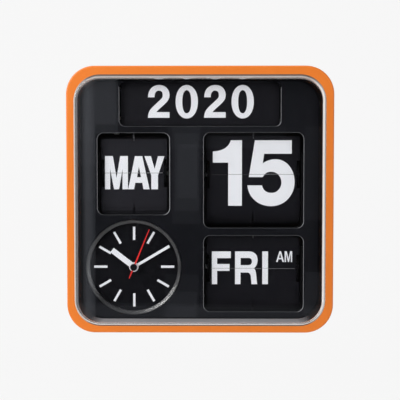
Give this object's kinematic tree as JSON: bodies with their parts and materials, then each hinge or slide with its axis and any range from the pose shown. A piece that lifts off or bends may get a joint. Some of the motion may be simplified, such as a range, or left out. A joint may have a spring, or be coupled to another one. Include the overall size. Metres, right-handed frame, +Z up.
{
  "type": "flip wall clock",
  "caption": "Square wall clock with an orange casing and clear box lens: flip leaves show month, date and day, a scroll the year, and a round dial the time.",
  "frame": {"origin": "centre of the casing's rear rim, in the wall plane", "axes": "+X to the viewer's right, +Y into the wall, +Z up; the front faces -Y"},
  "size_m": [0.24, 0.095, 0.24],
  "materials": {
    "casing_orange": "satin moulded",
    "clear_lens": "clear polished",
    "panel_black": "satin black",
    "dial_black": "matt black",
    "leaf_black": "matt black with white print",
    "tape_black": "matt black with white print",
    "shell_black": "moulded",
    "shell_grey": "moulded",
    "gear_white": "moulded",
    "white_print": "matt white",
    "hand_red": "satin red",
    "ring_black": "gloss black",
    "steel": "plated",
    "brass": "plain",
    "cell_jacket": "printed jacket",
    "wire_red": "insulated"
  },
  "bodies": {
    "case": {"casing": "casing_orange", "front_lens": "clear_lens", "dial_panel": "panel_black", "clock_dial": "dial_black", "dial_ring": "ring_black", "hour_markers": "white_print", "rear_cover": "shell_black", "rear_cover_screws": "steel", "panel_screws": "steel", "movement_front_shell": "shell_grey", "movement_rear_shell": "shell_grey", "movement_screws": "steel", "month_frame": "shell_black", "date_frame": "shell_black", "day_frame": "shell_black", "frame_screws": "steel", "month_leaf_stop": "steel", "date_leaf_stop": "steel", "day_leaf_stop": "steel", "year_frame": "shell_black", "year_tape": "tape_black", "battery_cell": "cell_jacket", "battery_spring": "steel", "battery_contact": "steel", "battery_wires": "wire_red"},
    "hour_hand": {"hour_wheel": "brass", "hour_hand": "white_print"},
    "minute_hand": {"cannon_pinion": "steel", "minute_hand": "white_print"},
    "second_hand": {"second_arbor": "steel", "second_hand": "hand_red", "hand_cap": "panel_black"},
    "time_setting": {"minute_wheel": "brass", "time_knob": "shell_grey"},
    "month_drum": {"month_drum": "shell_black", "month_drum_shaft": "steel", "month_drum_gear": "gear_white", "month_leaf_pack": "leaf_black"},
    "month_leaf": {"month_flip_leaf": "leaf_black"},
    "month_wheel": {"month_setting_wheel": "gear_white"},
    "date_drum": {"date_drum": "shell_black", "date_drum_shaft": "steel", "date_drum_gear": "gear_white", "date_leaf_pack": "leaf_black"},
    "date_leaf": {"date_flip_leaf": "leaf_black"},
    "date_wheel": {"date_setting_wheel": "gear_white"},
    "day_drum": {"day_drum": "shell_black", "day_drum_shaft": "steel", "day_drum_gear": "gear_white", "day_leaf_pack": "leaf_black"},
    "day_leaf": {"day_flip_leaf": "leaf_black"},
    "day_wheel": {"day_setting_wheel": "gear_white"},
    "year_wheel": {"year_wheel": "gear_white"},
    "upper_spool": {"upper_spool": "shell_black"},
    "lower_spool": {"lower_spool": "shell_black"},
    "battery_door": {"battery_door": "shell_black"}
  },
  "joints": [
    {"name": "minute_hand_turn", "type": "hinge", "parent": "case", "child": "minute_hand", "pos_m": [-0.0602, -0.0592, -0.0613], "axis": [0, 1, 0], "continuous": true},
    {"name": "hour_hand_turn", "type": "hinge", "parent": "case", "child": "hour_hand", "pos_m": [-0.0602, -0.0592, -0.0613], "axis": [0, 1, 0], "continuous": true},
    {"name": "second_hand_turn", "type": "hinge", "parent": "case", "child": "second_hand", "pos_m": [-0.0602, -0.0592, -0.0613], "axis": [0, 1, 0], "continuous": true},
    {"name": "time_knob_turn", "type": "hinge", "parent": "case", "child": "time_setting", "pos_m": [-0.0602, -0.004, -0.0493], "axis": [0, 1, 0], "continuous": true},
    {"name": "month_drum_index", "type": "hinge", "parent": "case", "child": "month_drum", "pos_m": [-0.0602, -0.045, 0.0242], "axis": [1, 0, 0], "range_deg": [0, 15]},
    {"name": "month_leaf_flip", "type": "hinge", "parent": "month_drum", "child": "month_leaf", "pos_m": [-0.0602, -0.05789, 0.0259], "axis": [1, 0, 0], "range_deg": [0, 165]},
    {"name": "month_wheel_turn", "type": "hinge", "parent": "case", "child": "month_wheel", "pos_m": [-0.0247, -0.018, 0.0242], "axis": [1, 0, 0], "range_deg": [-12, 0]},
    {"name": "date_drum_index", "type": "hinge", "parent": "case", "child": "date_drum", "pos_m": [0.0484, -0.045, 0.023], "axis": [1, 0, 0], "range_deg": [0, 11.61]},
    {"name": "date_leaf_flip", "type": "hinge", "parent": "date_drum", "child": "date_leaf", "pos_m": [0.0484, -0.05793, 0.02432], "axis": [1, 0, 0], "range_deg": [0, 168.39]},
    {"name": "date_wheel_turn", "type": "hinge", "parent": "case", "child": "date_wheel", "pos_m": [0.0004, -0.018, 0.023], "axis": [1, 0, 0], "range_deg": [-9.29, 0]},
    {"name": "day_drum_index", "type": "hinge", "parent": "case", "child": "day_drum", "pos_m": [0.0484, -0.045, -0.0629], "axis": [1, 0, 0], "range_deg": [0, 12.86]},
    {"name": "day_leaf_flip", "type": "hinge", "parent": "day_drum", "child": "day_leaf", "pos_m": [0.0484, -0.05792, -0.06144], "axis": [1, 0, 0], "range_deg": [0, 167.14]},
    {"name": "day_wheel_turn", "type": "hinge", "parent": "case", "child": "day_wheel", "pos_m": [0.0004, -0.018, -0.0629], "axis": [1, 0, 0], "range_deg": [-10.29, 0]},
    {"name": "year_wheel_turn", "type": "hinge", "parent": "case", "child": "year_wheel", "pos_m": [-0.0797, -0.02901, 0.0879], "axis": [1, 0, 0], "continuous": true},
    {"name": "upper_spool_turn", "type": "hinge", "parent": "case", "child": "upper_spool", "pos_m": [0, -0.0535, 0.1085], "axis": [1, 0, 0], "continuous": true},
    {"name": "lower_spool_turn", "type": "hinge", "parent": "case", "child": "lower_spool", "pos_m": [0, -0.0535, 0.0673], "axis": [1, 0, 0], "continuous": true},
    {"name": "battery_door_lift", "type": "slide", "parent": "case", "child": "battery_door", "axis": [0, 1, 0], "range_m": [0, 0.03]}
  ],
  "couplings": [
    {"joint": "hour_hand_turn", "follows": "minute_hand_turn", "ratio": 0.083333},
    {"joint": "time_knob_turn", "follows": "minute_hand_turn", "ratio": -0.33333},
    {"joint": "month_leaf_flip", "follows": "month_drum_index", "ratio": 11},
    {"joint": "month_wheel_turn", "follows": "month_drum_index", "ratio": -0.8},
    {"joint": "date_leaf_flip", "follows": "date_drum_index", "ratio": 14.5},
    {"joint": "date_wheel_turn", "follows": "date_drum_index", "ratio": -0.8},
    {"joint": "day_leaf_flip", "follows": "day_drum_index", "ratio": 13},
    {"joint": "day_wheel_turn", "follows": "day_drum_index", "ratio": -0.8},
    {"joint": "upper_spool_turn", "follows": "year_wheel_turn", "ratio": -4.3333},
    {"joint": "lower_spool_turn", "follows": "year_wheel_turn", "ratio": -4.3333}
  ]
}
